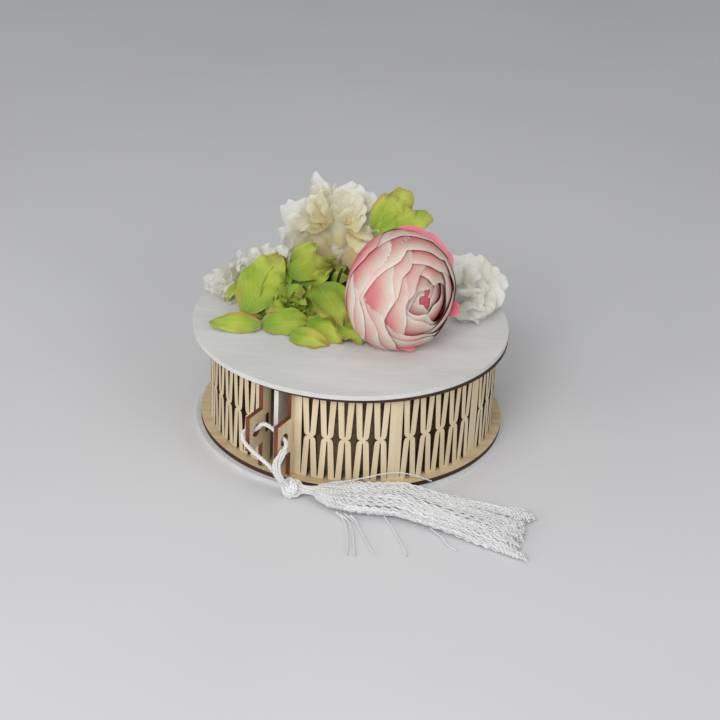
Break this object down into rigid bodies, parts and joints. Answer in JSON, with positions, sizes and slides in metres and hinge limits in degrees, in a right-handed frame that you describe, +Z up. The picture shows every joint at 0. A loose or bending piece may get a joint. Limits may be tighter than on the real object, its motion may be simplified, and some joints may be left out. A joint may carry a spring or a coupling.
{
  "type": "round cheese box",
  "caption": "Round plywood box with a laser-cut slat wall, two bending front doors tied by a tasselled cord, and fabric flowers on the lid.",
  "frame": {"origin": "centre of the white bottom disc's underside, on the surface the box stands on", "axes": "+Z up, -Y towards the viewer in the picture, +X to the viewer's right; the two slat doors meet 28.5 degrees to the left of -Y"},
  "size_m": [0.2138, 0.2578, 0.1403],
  "materials": {
    "white_paint": "matt white paint on plywood",
    "birch_ply": "bare laser-cut birch plywood with browned edges",
    "partition_ply": "plywood painted white towards the front edge",
    "pink_fabric": "matt fabric petals with deeper pink edges",
    "leaf_fabric": "matt fabric",
    "cream_fabric": "sheer matt fabric",
    "white_fabric": "sheer matt fabric",
    "lime_fabric": "matt fabric with browned tips",
    "twig_wood": "matt",
    "cord_silk": "glossy twisted white thread"
  },
  "bodies": {
    "box": {"base_plate": "white_paint", "lower_disc": "birch_ply", "wall": "birch_ply", "partition": "partition_ply", "upper_disc": "birch_ply", "lid_plate": "white_paint", "rose": "pink_fabric", "rose_sepals": "leaf_fabric", "cream_peony": "cream_fabric", "white_flower_left": "white_fabric", "white_flower_right": "white_fabric", "green_cluster": "lime_fabric", "green_back": "lime_fabric", "twig": "twig_wood", "cord": "cord_silk", "tassel_knot": "cord_silk", "tassel_neck": "cord_silk", "tassel_skirt": "cord_silk"},
    "right_leaf_1": {"right_leaf_1": "birch_ply"},
    "right_leaf_2": {"right_leaf_2": "birch_ply"},
    "right_leaf_3": {"right_leaf_3": "birch_ply"},
    "right_leaf_4": {"right_leaf_4": "birch_ply"},
    "right_leaf_5": {"right_leaf_5": "birch_ply", "right_ear": "birch_ply"},
    "left_leaf_1": {"left_leaf_1": "birch_ply"},
    "left_leaf_2": {"left_leaf_2": "birch_ply"},
    "left_leaf_3": {"left_leaf_3": "birch_ply"},
    "left_leaf_4": {"left_leaf_4": "birch_ply"},
    "left_leaf_5": {"left_leaf_5": "birch_ply", "left_ear": "birch_ply"}
  },
  "joints": [
    {"name": "right_door_bend_1", "type": "hinge", "parent": "box", "child": "right_leaf_1", "pos_m": [0.02119, -0.0881, 0.035], "axis": [0, 0, 1], "range_deg": [0, 13.37], "deforming": ["cord", "tassel_knot", "tassel_neck", "tassel_skirt"]},
    {"name": "right_door_bend_2", "type": "hinge", "parent": "right_leaf_1", "child": "right_leaf_2", "pos_m": [0.01081, -0.08964, 0.035], "axis": [0, 0, 1], "range_deg": [0, 13.37], "deforming": ["cord", "tassel_knot", "tassel_neck", "tassel_skirt"]},
    {"name": "right_door_bend_3", "type": "hinge", "parent": "right_leaf_2", "child": "right_leaf_3", "pos_m": [0.00032, -0.08997, 0.035], "axis": [0, 0, 1], "range_deg": [0, 13.37], "deforming": ["cord", "tassel_knot", "tassel_neck", "tassel_skirt"]},
    {"name": "right_door_bend_4", "type": "hinge", "parent": "right_leaf_3", "child": "right_leaf_4", "pos_m": [-0.01014, -0.08907, 0.035], "axis": [0, 0, 1], "range_deg": [0, 13.37], "deforming": ["cord", "tassel_knot", "tassel_neck", "tassel_skirt"]},
    {"name": "right_door_bend_5", "type": "hinge", "parent": "right_leaf_4", "child": "right_leaf_5", "pos_m": [-0.02042, -0.08695, 0.035], "axis": [0, 0, 1], "range_deg": [0, 13.37], "deforming": ["cord", "tassel_knot", "tassel_neck", "tassel_skirt"]},
    {"name": "left_door_bend_1", "type": "hinge", "parent": "box", "child": "left_leaf_1", "pos_m": [-0.08111, -0.03256, 0.035], "axis": [0, 0, 1], "range_deg": [-13.37, 0], "deforming": ["cord", "tassel_knot", "tassel_neck", "tassel_skirt"]},
    {"name": "left_door_bend_2", "type": "hinge", "parent": "left_leaf_1", "child": "left_leaf_2", "pos_m": [-0.07674, -0.0421, 0.035], "axis": [0, 0, 1], "range_deg": [-13.37, 0], "deforming": ["cord", "tassel_knot", "tassel_neck", "tassel_skirt"]},
    {"name": "left_door_bend_3", "type": "hinge", "parent": "left_leaf_2", "child": "left_leaf_3", "pos_m": [-0.0713, -0.05108, 0.035], "axis": [0, 0, 1], "range_deg": [-13.37, 0], "deforming": ["cord", "tassel_knot", "tassel_neck", "tassel_skirt"]},
    {"name": "left_door_bend_4", "type": "hinge", "parent": "left_leaf_3", "child": "left_leaf_4", "pos_m": [-0.06485, -0.05936, 0.035], "axis": [0, 0, 1], "range_deg": [-13.37, 0], "deforming": ["cord", "tassel_knot", "tassel_neck", "tassel_skirt"]},
    {"name": "left_door_bend_5", "type": "hinge", "parent": "left_leaf_4", "child": "left_leaf_5", "pos_m": [-0.05748, -0.06683, 0.035], "axis": [0, 0, 1], "range_deg": [-13.37, 0], "deforming": ["cord", "tassel_knot", "tassel_neck", "tassel_skirt"]}
  ],
  "couplings": [
    {"joint": "right_door_bend_2", "follows": "right_door_bend_1", "ratio": 1},
    {"joint": "right_door_bend_3", "follows": "right_door_bend_1", "ratio": 1},
    {"joint": "right_door_bend_4", "follows": "right_door_bend_1", "ratio": 1},
    {"joint": "right_door_bend_5", "follows": "right_door_bend_1", "ratio": 1},
    {"joint": "left_door_bend_2", "follows": "left_door_bend_1", "ratio": 1},
    {"joint": "left_door_bend_3", "follows": "left_door_bend_1", "ratio": 1},
    {"joint": "left_door_bend_4", "follows": "left_door_bend_1", "ratio": 1},
    {"joint": "left_door_bend_5", "follows": "left_door_bend_1", "ratio": 1}
  ]
}
